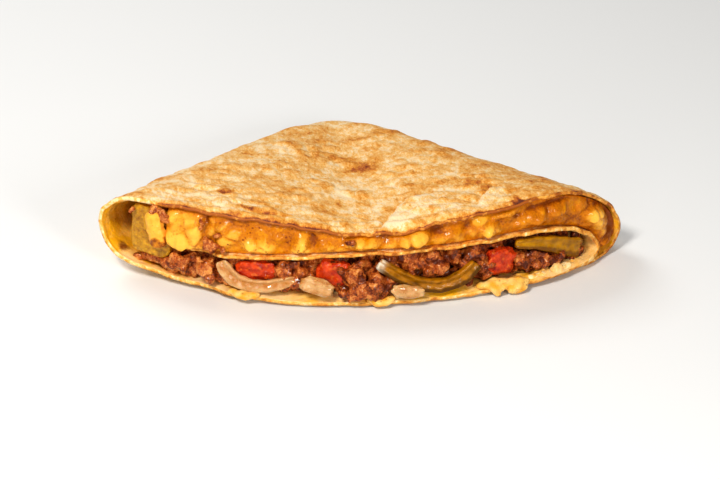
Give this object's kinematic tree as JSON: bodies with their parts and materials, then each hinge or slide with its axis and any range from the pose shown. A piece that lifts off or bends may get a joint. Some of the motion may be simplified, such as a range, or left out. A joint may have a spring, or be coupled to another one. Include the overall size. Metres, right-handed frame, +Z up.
{
  "type": "beef wrap",
  "caption": "Flour tortilla folded into a quarter round over minced beef, melted cheese, tomato, pickled pepper and onion, open along its curved front.",
  "frame": {"origin": "on the underside, near the middle of the wrap's outline", "axes": "+X from the wide open fold on the left to the double fold on the right, +Y towards the closed rounded tip, +Z up"},
  "size_m": [0.2156, 0.1643, 0.0398],
  "materials": {
    "tortilla": "dry, toasted, matt",
    "cheese": "melted, soft gloss",
    "beef": "browned, moist",
    "tomato": "wet gloss",
    "pickle": "wet gloss",
    "onion": "moist, soft gloss"
  },
  "bodies": {
    "root": {"tortilla": "tortilla", "cheese_layer": "cheese", "beef_filling": "beef", "cheese_stick": "cheese", "cheese_drip_left": "cheese", "cheese_drip_middle": "cheese", "cheese_drip_right": "cheese", "cheese_drip_far": "cheese", "pickle_left": "pickle", "pepper_middle": "pickle", "pickle_right": "pickle", "tomato_left": "tomato", "tomato_middle": "tomato", "tomato_right": "tomato", "onion_left": "onion", "onion_middle": "onion", "onion_right": "onion"}
  },
  "joints": []
}
